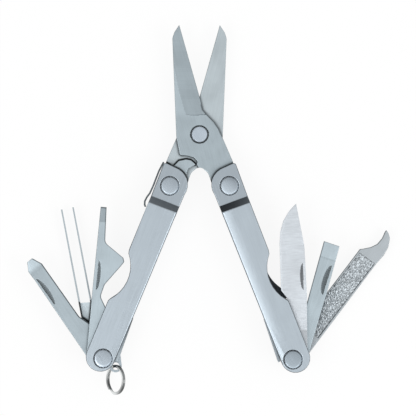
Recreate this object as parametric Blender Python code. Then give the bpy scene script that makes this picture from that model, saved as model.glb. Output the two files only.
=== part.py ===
"""Keychain multi tool: spring scissors between two folded-sheet handles.

The tool lies open on its back, with the picture plane as XY, the scissors towards +Y and the
thickness along +Z from the table. Each handle is a channel with a spine on the inner side and an
open mouth on the outer side. Its narrow ears turn on an upper pin at the end of a scissor tang, and
three small tools turn on its lower pin. Plan outlines of a handle and its tools are given in the
handle's own frame: x towards the spine, y towards the upper pin, mirrored for the right hand.
"""
import math

import bmesh
import bpy
import numpy as np
from mathutils import Matrix, Vector, geometry

MM = 0.001                      # the sizes below are in millimetres
LEFT, RIGHT = 1, -1             # hand of a handle: its spine lies towards hand * x

# Pins and running fits
SEGMENTS = 24                   # sides of a round piece
PIN_RADIUS = 1.5
PIN_HEAD_RADIUS = 2.65
PIN_HEAD_THICK = 0.5
PIN_SPIGOT_RADIUS = 0.8         # end of the post, which the rear cap is pressed on
RUNNING_GAP = 0.1               # between a shaft and the bore that turns on it
HEAD_RING_GAP = 0.2             # knurled ring between a head and its counterbore
LAYER_GAP = 0.1                 # between a spacer or a head and what it faces
SPACER_RADIUS = 2.5
RIVET_RADIUS = 1.4
RIVET_HEAD_RADIUS = 2.4
RIVET_RING_GAP = 0.35

# Heights above the table
BODY_THICK = 11.5               # over both walls of a handle
EAR_STEP = 1.9                  # how far an ear is pressed in from its wall
WALL = 1.0                      # sheet of the handles
HALF_THICK = 1.5                # each scissor half
SCISSOR_LOW = 3.85              # underside of the rear half
HALF_GAP = 0.1                  # between the two halves
FRONT_TOOL_LOW = 8.95
FRONT_TOOL_THICK = 1.3
MIDDLE_TOOL_LOW = 7.25
MIDDLE_TOOL_THICK = 1.5
FILE_LOW = 2.2
FILE_THICK = 1.3
TWEEZERS_LOW = 1.25
TWEEZERS_DEPTH = 2.25
TWEEZERS_SHEET = 0.5

# Scissors, from the rivet
BLADE_LENGTH = 32.9
TIP_HALF_SPREAD = 6.1           # tip to the middle line, open
SHOULDER_HALF_WIDTH = 6.95
BLADE_OUTER_SPREAD = 8.15       # outer edge near the tip
TANG_PIN_X = 8.93
TANG_PIN_Y = -15.45
TANG_END_RADIUS = 3.1

# Handles
LEFT_SPLAY = 21.1               # degrees from the middle line
RIGHT_SPLAY = 20.1
PIN_SPACING = 55.3              # upper pin to lower pin
SPINE_REACH = 3.58              # spine face to the pin line, at the lower pin
SPINE_TAPER = 0.027             # how it widens towards the ears, per unit length
MOUTH_REACH_LOW = 5.25          # mouth edge to the pin line, at the lower pin
MOUTH_REACH_MID = 4.6
MOUTH_REACH_EAR = 4.1
END_RADIUS = 4.4                # round lower end
END_SHIFT = 0.85                # its centre, towards the mouth
EAR_RADIUS = 5.35
EAR_TOP = 6.0                   # straight ear top above the pin
EAR_SWEEP = 6.9                 # no part of an ear lies further from its pin, so the ears pass
JOGGLE_TOP = 4.8                # sloped step below the upper pin: where the ear starts
JOGGLE_LENGTH = 2.0
SPINE_TOP = 8.0                 # the spine wall ends this far below the upper pin
SPINE_BOTTOM = 14.3             # and this far above the lower pin
SCALLOP_DEPTH = 3.0             # thumb scallop in the mouth edge
SCALLOP_RADIUS = 11.1
SCALLOP_HEIGHT = 24.9           # its middle above the lower pin

# Back springs and the key ring
SPRING_SHEET = 0.8
SPRING_LIFT = 0.9               # how far its free end stands out from the spine line
SPRING_END = 0.7                # its free end above the lower pin
SPRING_SIDE_GAP = 0.15
TAB_X = 4.32
TAB_Y = -1.13
TAB_HOLE_RADIUS = 1.15
TAB_WIDTH = 0.7                 # metal round the hole
TAB_THICK = 0.8
RING_RADIUS = 4.1               # middle of the wire
RING_WIRE_WIDE = 0.8            # across, in the ring's plane
RING_WIRE_THICK = 0.45
RING_PITCH = 0.5
RING_TURNS = 2
RING_TILT = 53.0                # degrees of its plane from the table
RING_END_ANGLE = -120.0

# Tools: swing is the angle out of the folded place
TANG_RADIUS = 3.4               # round heel of every tool, which the back spring presses on
OPENER_SWING = 16.5
OPENER_LENGTH = 45.1
OPENER_TIP_WIDTH = 1.75
OPENER_BACK = 4.8
HOOK_REACH = 3.9
HOOK_HEIGHT = 29.5
PHILLIPS_SWING = 57.1
PHILLIPS_LENGTH = 36.7
PHILLIPS_WIDTH = 4.6
TWEEZERS_SWING = 31.9
TWEEZERS_LENGTH = 46.1
TWEEZERS_WIDTH = 4.0
TWEEZERS_BACK = 4.45
WEB_LENGTH = 17.4
KNIFE_SWING = 19.5
KNIFE_LENGTH = 46.6
KNIFE_BELLY = 3.6
KNIFE_BACK = 4.4
KNIFE_HEEL = 19.4
DRIVER_SWING = 38.8
DRIVER_LENGTH = 36.5
DRIVER_TIP_WIDTH = 4.9
FILE_SWING = 56.5
FILE_LENGTH = 47.9
FILE_CORNER = 38.6
FILE_EDGE = 3.3

# Spring lever and spring leaf
LEVER_REACH = 10.1              # tip from the pin
LEVER_DIRECTION = 39.7          # degrees from +X
BUSHING_WALL = 0.35
LEAF_SHEET = 0.5
LEAF_LINE = 4.62                # its distance from the pin line
LEAF_BULGE = 0.7

# Heights worked out from those above
REAR_HALF = (SCISSOR_LOW, SCISSOR_LOW + HALF_THICK)
FRONT_HALF = (REAR_HALF[1] + HALF_GAP, REAR_HALF[1] + HALF_GAP + HALF_THICK)
EAR_OUTER = (EAR_STEP, BODY_THICK - EAR_STEP)
EAR_INNER = (EAR_OUTER[0] + WALL, EAR_OUTER[1] - WALL)
FRONT_TOOL = (FRONT_TOOL_LOW, FRONT_TOOL_LOW + FRONT_TOOL_THICK)
MIDDLE_TOOL = (MIDDLE_TOOL_LOW, MIDDLE_TOOL_LOW + MIDDLE_TOOL_THICK)
FILE_LAYER = (FILE_LOW, FILE_LOW + FILE_THICK)
TWEEZERS_LAYER = (TWEEZERS_LOW, TWEEZERS_LOW + TWEEZERS_DEPTH)
BORE_RADIUS = PIN_RADIUS + RUNNING_GAP

STEEL = (0.60, 0.66, 0.72)
BLADE_STEEL = (0.66, 0.71, 0.76)
SHADE_STEEL = (0.48, 0.54, 0.58)
RING_STEEL = (0.62, 0.63, 0.64)


# Outlines ------------------------------------------------------------------------------------

def arc(centre, radius, start, end, count):
    """Corner points on a circle, from one angle to another in degrees."""
    angles = np.radians(np.linspace(start, end, count))
    return [(centre[0] + radius * math.cos(a), centre[1] + radius * math.sin(a), 0.0)
            for a in angles]


def rounded(corners, steps=4):
    """Closed outline from (x, y, radius) corners: each radius becomes a small arc."""
    points = []
    for index, (x, y, radius) in enumerate(corners):
        here = Vector((x, y))
        if radius <= 0.0:
            points.append(here)
            continue
        before = Vector(corners[index - 1][:2]) - here
        after = Vector(corners[(index + 1) % len(corners)][:2]) - here
        half = before.angle(after) / 2
        run = min(radius / math.tan(half), 0.45 * before.length, 0.45 * after.length)
        middle = (before.normalized() + after.normalized()).normalized()
        centre = here + middle * (run / math.cos(half))
        first = here + before.normalized() * run - centre
        last = here + after.normalized() * run - centre
        turn = first.angle_signed(last)
        for step in range(steps + 1):
            points.append(centre + Matrix.Rotation(-turn * step / steps, 2) @ first)
    return points


def strip(line, thickness):
    """Outline of a thin sheet seen edge-on, along an open line of points."""
    line = [Vector(point) for point in line]
    sides = []
    for index, point in enumerate(line):
        ahead = line[min(index + 1, len(line) - 1)] - line[max(index - 1, 0)]
        across = Vector((-ahead.y, ahead.x)).normalized() * thickness / 2
        sides.append((point + across, point - across))
    return [side[0] for side in sides] + [side[1] for side in reversed(sides)]


def tang(neck_spine, neck_mouth):
    """Round heel that every tool turns on, from its spine side round to its mouth side.

    Each neck is the (x, y) where the tool's straight edge starts."""
    start = math.degrees(math.acos(min(1.0, neck_spine[0] / TANG_RADIUS))) * 0.4
    heel = arc((0, 0), TANG_RADIUS, start, -180, 11)
    return [(neck_spine[0], neck_spine[1], 1.0)] + heel + [(neck_mouth[0], neck_mouth[1], 1.0)]


# Solids --------------------------------------------------------------------------------------

def new_mesh(name, vertices, faces):
    mesh = bpy.data.meshes.new(name)
    mesh.from_pydata([tuple(MM * value for value in vertex) for vertex in vertices], [], faces)
    mesh.validate()
    return mesh


def prism(outline, low, high, hand=LEFT):
    """Flat plate: an outline carried from one height to another, mirrored for the right hand."""
    points = [Vector((hand * point[0], point[1], 0.0)) for point in outline]
    count = len(points)
    area = sum(points[i - 1].x * points[i].y - points[i].x * points[i - 1].y for i in range(count))
    if area < 0:
        points.reverse()
    vertices = [(p.x, p.y, low) for p in points] + [(p.x, p.y, high) for p in points]
    faces = [(i, (i + 1) % count, (i + 1) % count + count, i + count) for i in range(count)]
    for a, b, c in geometry.tessellate_polygon([points]):
        if (points[b] - points[a]).cross(points[c] - points[a]).z < 0:
            b, c = c, b
        faces.append((a + count, b + count, c + count))
        faces.append((c, b, a))
    return new_mesh("plate", vertices, faces)


def turned(profile, closed=False):
    """Turned solid about Z from (radius, height) points, which run up its outer side.

    A closed profile makes a ring; an open one starts and ends on the axis."""
    ring_turns = [2 * math.pi * i / SEGMENTS for i in range(SEGMENTS)]
    vertices = []
    rings = []
    for radius, height in profile:
        if radius == 0:
            rings.append([len(vertices)] * SEGMENTS)
            vertices.append((0.0, 0.0, height))
        else:
            rings.append(list(range(len(vertices), len(vertices) + SEGMENTS)))
            vertices += [(radius * math.cos(a), radius * math.sin(a), height) for a in ring_turns]
    faces = []
    pairs = list(zip(rings, rings[1:]))
    if closed:
        pairs.append((rings[-1], rings[0]))
    for lower, upper in pairs:
        for i in range(SEGMENTS):
            j = (i + 1) % SEGMENTS
            corners = [lower[i], lower[j], upper[j], upper[i]]
            faces.append(tuple(dict.fromkeys(corners)))
    return new_mesh("turned", vertices, faces)


def sleeve(inner, outer, low, high):
    """Plain ring, such as a spacer or a cap."""
    return turned([(inner, low), (outer, low), (outer, high), (inner, high)], closed=True)


def rod(radius, low, high):
    return turned([(0, low), (radius, low), (radius, high), (0, high)])


def combine(mesh, other, operation, offset=(0.0, 0.0)):
    """Mesh joined with or cut by another, which is first moved by an offset in plan."""
    scene = bpy.context.scene.collection
    target = bpy.data.objects.new("target", mesh)
    tool = bpy.data.objects.new("tool", other)
    tool.location = (MM * offset[0], MM * offset[1], 0.0)
    scene.objects.link(target)
    scene.objects.link(tool)
    modifier = target.modifiers.new("combine", "BOOLEAN")
    modifier.operation = operation
    modifier.solver = "EXACT"
    modifier.object = tool
    graph = bpy.context.evaluated_depsgraph_get()
    result = bpy.data.meshes.new_from_object(target.evaluated_get(graph))
    bpy.data.objects.remove(target)
    bpy.data.objects.remove(tool)
    return result


def drilled(mesh, radius, low, high, offset=(0.0, 0.0)):
    return combine(mesh, rod(radius, low, high), "DIFFERENCE", offset)


def steel(name, colour, roughness):
    material = bpy.data.materials.new(name)
    material.use_nodes = True
    shader = material.node_tree.nodes["Principled BSDF"]
    shader.inputs["Base Color"].default_value = (*colour, 1.0)
    shader.inputs["Metallic"].default_value = 1.0
    shader.inputs["Roughness"].default_value = roughness
    material.diffuse_color = (*colour, 1.0)
    return material


def place(name, mesh, parent, colour=STEEL, roughness=0.35, location=(0, 0, 0), turn=0.0):
    """Named sub-part with its own material, placed under its joint's empty."""
    mesh.name = name
    mesh.materials.clear()
    mesh.materials.append(steel(name, colour, roughness))
    mesh.shade_smooth()
    mesh.set_sharp_from_angle(angle=math.radians(30))
    obj = bpy.data.objects.new(name, mesh)
    obj.parent = parent
    obj.location = [MM * value for value in location]
    obj.rotation_euler = (0, 0, math.radians(turn))
    bpy.context.scene.collection.objects.link(obj)
    return obj


def empty(name, parent, location=(0, 0), turn=0.0):
    """Guide on a joint's axis, which the pieces that turn there are parented to."""
    guide = bpy.data.objects.new(name, None)
    guide.empty_display_size = 3 * MM
    guide.parent = parent
    guide.location = (MM * location[0], MM * location[1], 0.0)
    guide.rotation_euler = (0, 0, math.radians(turn))
    bpy.context.scene.collection.objects.link(guide)
    return guide


# Pins ----------------------------------------------------------------------------------------

def post_mesh(low, high, radius, head_radius):
    """Headed post: head flush with the front face, shank, and a spigot for the rear cap."""
    head_low = high - PIN_HEAD_THICK
    shank_low = low + PIN_HEAD_THICK + LAYER_GAP
    return turned([(0, low), (PIN_SPIGOT_RADIUS, low), (PIN_SPIGOT_RADIUS, shank_low),
                   (radius, shank_low), (radius, head_low), (head_radius, head_low),
                   (head_radius, high), (0, high)])


def add_pin(name, parent, low, high, radius=PIN_RADIUS, head_radius=PIN_HEAD_RADIUS, at=(0, 0)):
    """Two-part pin between two outer faces; its cap lies just under the rear face."""
    rear = low + LAYER_GAP
    location = (at[0], at[1], 0)
    place(name, post_mesh(rear, high, radius, head_radius), parent, STEEL, 0.25, location)
    cap = sleeve(PIN_SPIGOT_RADIUS + LAYER_GAP / 2, head_radius, rear, rear + PIN_HEAD_THICK)
    place(name + "_cap", cap, parent, SHADE_STEEL, 0.3, location)


def add_spacer(name, parent, low, high, at=(0, 0)):
    """Ring on a pin that fills the room between two layers."""
    ring = sleeve(BORE_RADIUS, SPACER_RADIUS, low + LAYER_GAP, high - LAYER_GAP)
    place(name, ring, parent, SHADE_STEEL, 0.4, (at[0], at[1], 0))


def counterbored(mesh, low, high, bore, ring, at=(0.0, 0.0), front=True, rear=True):
    """Through bore with a seat for a head at the front and for a cap at the rear."""
    beyond = 5.0
    mesh = drilled(mesh, bore, low - beyond, high + beyond, at)
    if front:
        mesh = drilled(mesh, ring, high - PIN_HEAD_THICK - LAYER_GAP, high + beyond, at)
    if rear:
        mesh = drilled(mesh, ring, low - beyond, low + PIN_HEAD_THICK + 2 * LAYER_GAP, at)
    return mesh


# Handles -------------------------------------------------------------------------------------

def spine_line(height, inset=0.0):
    """Spine face in the handle's frame, at a height above the lower pin."""
    return SPINE_REACH + SPINE_TAPER * height - inset


def mouth_line(height):
    """Mouth edge above the lower pin: it narrows from the lower end to the ears."""
    ear_height = PIN_SPACING - JOGGLE_TOP
    if height > SCALLOP_HEIGHT:
        share = (height - SCALLOP_HEIGHT) / (ear_height - SCALLOP_HEIGHT)
        return -(MOUTH_REACH_MID + share * (MOUTH_REACH_EAR - MOUTH_REACH_MID))
    share = height / SCALLOP_HEIGHT
    return -(MOUTH_REACH_LOW + share * (MOUTH_REACH_MID - MOUTH_REACH_LOW))


def handle_outline():
    """Plan of a handle: round lower end, tapered spine, ear, and a mouth with its scallop."""
    ear = PIN_SPACING
    spine_top = ear - JOGGLE_TOP
    end = arc((-END_SHIFT, 0.15), END_RADIUS, 180, 355, 13)
    ear_round = arc((-0.1, ear + 0.4), EAR_RADIUS, -15, 80, 8)
    corner_high = math.degrees(math.asin(EAR_TOP / EAR_SWEEP))
    corner_low = math.degrees(math.acos(MOUTH_REACH_EAR / EAR_SWEEP))
    ear_corner = arc((0, ear), EAR_SWEEP, 180 - corner_high, 180 - corner_low, 4)
    scallop_x = SCALLOP_DEPTH - MOUTH_REACH_MID - SCALLOP_RADIUS
    reach = math.degrees(math.acos((-MOUTH_REACH_MID - scallop_x) / SCALLOP_RADIUS))
    scallop = arc((scallop_x, SCALLOP_HEIGHT), SCALLOP_RADIUS, reach * 0.93, -reach * 0.93, 10)
    nose = SCALLOP_HEIGHT + SCALLOP_RADIUS * math.sin(math.radians(reach))
    heel = SCALLOP_HEIGHT - SCALLOP_RADIUS * math.sin(math.radians(reach))
    edge = [(mouth_line(spine_top), spine_top, 0), (mouth_line(nose + 0.7), nose + 0.7, 1.0)]
    lower = [(mouth_line(heel - 0.4), heel - 0.4, 1.0)]
    return rounded(end + [(spine_line(spine_top), spine_top, 0)] + ear_round + ear_corner
                   + edge + scallop + lower)


def side_profile(inset):
    """Side view (height along the handle, z) of a wall face: flat body, sloped step, ear.

    An inset of zero is the outside of the sheet, and of one wall its inside."""
    slope = math.atan2(EAR_STEP, JOGGLE_LENGTH)
    shift = inset * math.tan(slope / 2)
    step_end = PIN_SPACING - JOGGLE_TOP - shift
    step_start = step_end - JOGGLE_LENGTH
    far = PIN_SPACING + 20
    lower = [(-20, inset), (step_start, inset), (step_end, EAR_STEP + inset), (far, EAR_STEP + inset)]
    upper = [(y, BODY_THICK - z) for y, z in reversed(lower)]
    return lower + upper


def across(profile):
    """Prism of a side view, carried right across the handle."""
    width = 20.0
    mesh = prism([(-z, y) for y, z in profile], -width, width)
    mesh.transform(Matrix.Rotation(math.radians(90), 4, "Y"))
    return mesh


def handle_mesh(hand):
    """Folded channel: the plan cut to the side view, hollowed to a wall all round."""
    body = prism(handle_outline(), -5, BODY_THICK + 5)
    body = combine(body, across(side_profile(0.0)), "INTERSECT")
    top = PIN_SPACING - SPINE_TOP
    hollow_plan = [(-20, -20), (20, -20), (20, SPINE_BOTTOM),
                   (spine_line(SPINE_BOTTOM, WALL), SPINE_BOTTOM), (spine_line(top, WALL), top),
                   (20, top), (20, PIN_SPACING + 15), (-20, PIN_SPACING + 15)]
    hollow = combine(prism(hollow_plan, -8, BODY_THICK + 8), across(side_profile(WALL)), "INTERSECT")
    body = combine(body, hollow, "DIFFERENCE")
    ring = PIN_HEAD_RADIUS + HEAD_RING_GAP
    body = counterbored(body, 0.0, BODY_THICK, BORE_RADIUS, ring)
    body = counterbored(body, *EAR_OUTER, BORE_RADIUS, ring, (0.0, PIN_SPACING))
    body.transform(Matrix.Translation((0, -PIN_SPACING * MM, 0)))
    if hand == RIGHT:
        body.transform(Matrix.Scale(-1, 4, (1, 0, 0)))
        body.flip_normals()
    return body


def back_spring_line(height):
    """Outer face of a back spring: it leaves the spine line and stands out at its free end."""
    share = (SPINE_BOTTOM - height) / SPINE_BOTTOM
    return spine_line(height) + 0.1 + (SPRING_LIFT - 0.1) * share


def back_spring_mesh(hand, with_tab):
    """Leaf in the window of the spine; the left one ends in the tab for the key ring."""
    low = WALL + SPRING_SIDE_GAP
    root = SPINE_BOTTOM - 2 * SPRING_SIDE_GAP
    middle = (root + SPRING_END) / 2
    heights = (root, middle, SPRING_END)
    line = [(back_spring_line(height) - SPRING_SHEET / 2, height) for height in heights]
    leaf = prism(strip(line, SPRING_SHEET), low, BODY_THICK - low, hand)
    if not with_tab:
        return leaf
    lobe = TAB_HOLE_RADIUS + TAB_WIDTH
    stem = SPRING_END + 2.0
    outer = back_spring_line(stem) - 0.05
    plan = rounded([(outer, stem, 0), (outer - SPRING_SHEET + 0.1, stem, 0)]
                   + arc((TAB_X, TAB_Y), lobe, 150, 390, 14))
    tab_low = BODY_THICK / 2 - TAB_THICK / 2
    leaf = combine(leaf, prism(plan, tab_low, tab_low + TAB_THICK, hand), "UNION")
    return drilled(leaf, TAB_HOLE_RADIUS, 0, BODY_THICK, (hand * TAB_X, TAB_Y))


# Tools, each in its folded place ---------------------------------------------------------------

def opener_outline():
    """Cap hook and small driver: straight back, ground tip, hook towards the spine."""
    tip_back = OPENER_BACK - 0.45
    stem = tip_back - OPENER_TIP_WIDTH
    hook = HOOK_HEIGHT
    return rounded([(-tip_back, OPENER_LENGTH, 0), (-stem, OPENER_LENGTH, 0),
                    (-stem + 0.4, hook + 5.0, 2.0), (HOOK_REACH - 0.3, hook + 0.9, 0),
                    (HOOK_REACH + 0.1, hook - 0.3, 0.6), (HOOK_REACH - 0.8, hook - 1.6, 0),
                    (-1.3, hook - 7.5, 2.0), (-2.3, hook - 11.2, 2.0), (0.0, hook - 15.2, 1.0)]
                   + tang((2.2, 9.0), (-OPENER_BACK - 0.25, 2.2))
                   + [(-OPENER_BACK, hook - 9.0, 0)])


def phillips_outline():
    """Flat cross-point driver blade with a swept tip and a broad heel."""
    half = PHILLIPS_WIDTH / 2
    middle = -0.6
    end = PHILLIPS_LENGTH
    return rounded([(middle - 1.0, end - 0.1, 0.3), (middle + 0.9, end, 0.3),
                    (middle + half, end - 3.0, 0.6), (middle + half - 0.3, end - 22.4, 1.5)]
                   + tang((2.7, end - 26.0), (-3.75, 3.0))
                   + [(middle - half - 0.05, end - 6.0, 1.0), (middle - half - 0.1, end - 2.6, 0.5)])


def knife_outline():
    """Clip blade: curved edge towards the spine, straight back towards the mouth."""
    end = KNIFE_LENGTH
    belly = KNIFE_BELLY
    heel = KNIFE_HEEL
    return rounded([(-1.45, end, 0), (0.65, end - 2.2, 0), (2.4, end - 5.1, 0),
                    (belly - 0.25, end - 8.4, 0), (belly, end - 12.0, 3.0),
                    (belly - 0.3, heel + 1.2, 0.6), (1.6, heel - 0.9, 0.6)]
                   + tang((1.6, 8.0), (-KNIFE_BACK, 3.0))
                   + [(-KNIFE_BACK, heel, 5.0), (-KNIFE_BACK + 0.6, end - 12.8, 5.0)])


def driver_outline():
    """Flat screwdriver: broad straight tip, waisted towards the heel."""
    half = DRIVER_TIP_WIDTH / 2
    end = DRIVER_LENGTH
    return rounded([(-half, end, 0.15), (half, end, 0.15), (half - 1.6, end - 28.0, 2.0)]
                   + tang((2.2, 5.0), (-4.0, 3.5))
                   + [(-half - 0.85, end - 14.0, 3.0)])


def file_outline():
    """Nail file with a hooked cleaner tip that curves over towards the spine."""
    end = FILE_LENGTH
    corner = FILE_CORNER
    hook = [(0.1, end, 0.1), (0.1, end - 0.7, 0), (-0.35, end - 2.7, 0), (-0.2, end - 5.0, 0),
            (0.8, corner + 2.4, 0), (2.6, corner + 0.4, 0)]
    back = [(-3.5, end - 10.0, 2.0), (-3.8, end - 6.6, 0), (-3.45, end - 3.8, 0),
            (-2.25, end - 1.3, 0), (-0.9, end - 0.3, 0)]
    return rounded(hook + [(FILE_EDGE - 0.2, corner, 0.2), (FILE_EDGE, corner - 16.0, 0)]
                   + tang((FILE_EDGE - 0.1, 8.0), (-3.2, 3.0)) + back)


def tweezers_mesh(hand):
    """Sheet bent to a U: a web that turns on the pin, and two long tines seen edge-on."""
    sheet = TWEEZERS_SHEET
    mouth = -TWEEZERS_BACK
    spine = mouth + TWEEZERS_WIDTH
    low, high = TWEEZERS_LAYER
    web = rounded([(mouth, WEB_LENGTH, 0.3), (spine, WEB_LENGTH - 0.5, 0.3), (spine, 9.0, 1.0)]
                  + tang((2.6, 4.0), (-3.6, 3.0)) + [(mouth, 8.0, 1.0)])
    mesh = prism(web, low, low + sheet, hand)
    for edge in (mouth, spine - sheet):
        tine = [(edge, 10.0), (edge + sheet, 10.0), (edge + sheet * 0.9, TWEEZERS_LENGTH),
                (edge + sheet * 0.1, TWEEZERS_LENGTH)]
        mesh = combine(mesh, prism(tine, low + sheet / 2, high, hand), "UNION")
    return drilled(mesh, BORE_RADIUS, low - 5, high + 5)


# Scissors ------------------------------------------------------------------------------------

def scissor_outline():
    """One half: blade to the left of the rivet, tang down to the right, with the lever's notch."""
    pin_x, pin_y = TANG_PIN_X, TANG_PIN_Y
    blade = [(-TIP_HALF_SPREAD, BLADE_LENGTH, 0), (0.0, 11.3, 0), (1.0, 7.3, 1.0),
             (2.75, 5.35, 0), (4.45, 3.6, 0), (5.8, 1.6, 0), (SHOULDER_HALF_WIDTH - 0.25, -0.5, 0)]
    outer = [(pin_x + 1.05, pin_y + 7.4, 0)]
    end = arc((pin_x, pin_y), TANG_END_RADIUS, 15, -150, 10)
    arch = [(pin_x - 5.4, pin_y + 0.9, 1.0), (pin_x - 5.75, pin_y + 2.2, 0),
            (pin_x - 6.4, pin_y + 3.9, 1.5), (0.9, pin_y + 5.3, 1.0)]
    notch = [(-0.35, -9.9, 0.3), (-0.9, -8.9, 0.15), (-0.6, -8.2, 0.4), (-1.7, -6.95, 1.0),
             (-3.9, -6.3, 0), (-5.9, -6.3, 0.8)]
    shoulder = [(-SHOULDER_HALF_WIDTH, -1.0, 1.5), (-BLADE_OUTER_SPREAD, BLADE_LENGTH - 4.0, 2.0),
                (-BLADE_OUTER_SPREAD + 0.6, BLADE_LENGTH - 2.2, 1.0)]
    return rounded(blade + outer + end + arch + notch + shoulder)


def scissor_mesh(hand, layer, front):
    """Half drilled for its pins, with a seat for the rivet's head or cap."""
    mesh = prism(scissor_outline(), *layer, hand)
    bore = RIVET_RADIUS + RUNNING_GAP
    ring = RIVET_HEAD_RADIUS + RIVET_RING_GAP
    mesh = counterbored(mesh, *layer, bore, ring, front=front, rear=not front)
    return drilled(mesh, BORE_RADIUS, -5, BODY_THICK, (hand * TANG_PIN_X, TANG_PIN_Y))


def lever_outline():
    """Spring lever, from its pin: a broad heel and an arm whose tip bears in the notch."""
    reach = math.radians(LEVER_DIRECTION)
    tip = (LEVER_REACH * math.cos(reach), LEVER_REACH * math.sin(reach))
    heel = arc((0, 0), 3.0, 130, 335, 10)
    lower = [(4.7, 2.6, 0.5), (tip[0] - 2.3, tip[1] - 1.3, 1.0), (tip[0] - 0.4, tip[1] - 0.3, 0.2)]
    upper = [(tip[0], tip[1], 0.15), (tip[0] - 1.5, tip[1] + 1.25, 0.8), (tip[0] - 2.9, tip[1] + 1.5, 1.0),
             (tip[0] - 5.0, tip[1] + 1.05, 0), (0.9, 5.6, 0.8)]
    return rounded(heel + lower + upper)


def leaf_outline():
    """Scissor spring leaf seen edge-on: straight past the ear, then curled at the step."""
    line = [(-LEAF_LINE + 0.35, EAR_TOP), (-LEAF_LINE, EAR_TOP - 3.0), (-LEAF_LINE, -2.0),
            (-LEAF_LINE - 0.15, -4.2), (-LEAF_LINE - LEAF_BULGE * 0.8, -5.7),
            (-LEAF_LINE - LEAF_BULGE, -7.0), (-LEAF_LINE - LEAF_BULGE * 0.5, -8.0),
            (-LEAF_LINE + 0.1, -8.5)]
    return strip(line, LEAF_SHEET)


# Assembly ------------------------------------------------------------------------------------

def add_scissors(root):
    """Two crossing halves and the rivet that holds them together."""
    place("scissor_half_front", scissor_mesh(LEFT, FRONT_HALF, True), root, BLADE_STEEL, 0.3)
    place("scissor_half_rear", scissor_mesh(RIGHT, REAR_HALF, False), root, BLADE_STEEL, 0.3)
    add_pin("scissor_rivet", root, REAR_HALF[0], FRONT_HALF[1], RIVET_RADIUS, RIVET_HEAD_RADIUS)


def add_lever(axis, splay):
    """Lever on its bushing, in the front half's layer over the rear tang."""
    low, high = FRONT_HALF
    bush = BORE_RADIUS + BUSHING_WALL
    place("lever_bushing", sleeve(BORE_RADIUS, bush, low + 0.02, high - 0.02), axis, SHADE_STEEL)
    lever = drilled(prism(lever_outline(), low, high), bush + RUNNING_GAP / 2, -5, BODY_THICK)
    place("spring_lever", lever, axis, STEEL, 0.3, turn=splay)


def add_handle(root, hand):
    """One handle with its pins, spacers, back spring and the empty that its tools turn on."""
    side = "left" if hand == LEFT else "right"
    splay = LEFT_SPLAY if hand == LEFT else RIGHT_SPLAY
    upper = empty(side + "_fold_axis", root, (-hand * TANG_PIN_X, TANG_PIN_Y), -hand * splay)
    lower = empty(side + "_tool_axis", upper, (0, -PIN_SPACING))
    place(side + "_handle", handle_mesh(hand), upper)
    add_pin(side + "_upper_pin", upper, *EAR_OUTER)
    add_pin(side + "_lower_pin", lower, 0.0, BODY_THICK)
    tang_layer = REAR_HALF if hand == LEFT else FRONT_HALF
    add_spacer(side + "_upper_spacer_front", upper, FRONT_HALF[1], EAR_INNER[1])
    add_spacer(side + "_upper_spacer_rear", upper, EAR_INNER[0], tang_layer[0])
    place(side + "_back_spring", back_spring_mesh(hand, hand == LEFT), lower, SHADE_STEEL)
    return upper, lower, splay


def add_tool(name, mesh, lower, hand, swing, colour=BLADE_STEEL, roughness=0.3):
    place(name, mesh, lower, colour, roughness, turn=hand * swing)


def bored_plate(outline, layer, hand):
    return drilled(prism(outline, *layer, hand), BORE_RADIUS, -5, BODY_THICK + 5)


def ring_mesh():
    """Split ring: a flat wire wound twice round, from the point where it hangs in its tab."""
    steps = 30 * RING_TURNS
    turns = np.linspace(0.0, RING_TURNS, steps + 1)
    angles = np.radians(RING_END_ANGLE) + 2 * np.pi * turns
    shift = RING_PITCH * (turns - RING_TURNS / 2)
    vertices = []
    for angle, axial in zip(angles, shift):
        for radial, side in ((-1, -1), (1, -1), (1, 1), (-1, 1)):
            radius = RING_RADIUS + radial * RING_WIRE_WIDE / 2
            vertices.append((radius * math.cos(angle), radius * math.sin(angle) - RING_RADIUS,
                             axial + side * RING_WIRE_THICK / 2))
    faces = [(3, 2, 1, 0), tuple(4 * steps + i for i in range(4))]
    for step in range(steps):
        base = 4 * step
        for i in range(4):
            j = (i + 1) % 4
            faces.append((base + i, base + j, base + j + 4, base + i + 4))
    mesh = new_mesh("ring", vertices, faces)
    work = bmesh.new()
    work.from_mesh(mesh)
    bmesh.ops.recalc_face_normals(work, faces=work.faces)
    work.to_mesh(mesh)
    work.free()
    return mesh


def add_key_ring(lower, splay):
    """Ring hung from the tab, its plane upright in plan and tilted up from the table."""
    axis = empty("key_ring_axis", lower, (TAB_X, TAB_Y), splay)
    ring = place("key_ring", ring_mesh(), axis, RING_STEEL, 0.15, (0, 0, BODY_THICK / 2))
    ring.rotation_euler = (0, -math.radians(RING_TILT), 0)


def centre_on_table(root):
    """Moves the whole tool, so that the origin is at the middle of its box's underside."""
    bpy.context.view_layer.update()
    corners = [obj.matrix_world @ vertex.co for obj in bpy.data.objects if obj.type == "MESH"
               for vertex in obj.data.vertices]
    low = [min(corner[i] for corner in corners) for i in range(3)]
    high = [max(corner[i] for corner in corners) for i in range(3)]
    root.location = (-(low[0] + high[0]) / 2, -(low[1] + high[1]) / 2, -low[2])
    bpy.context.view_layer.update()


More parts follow.
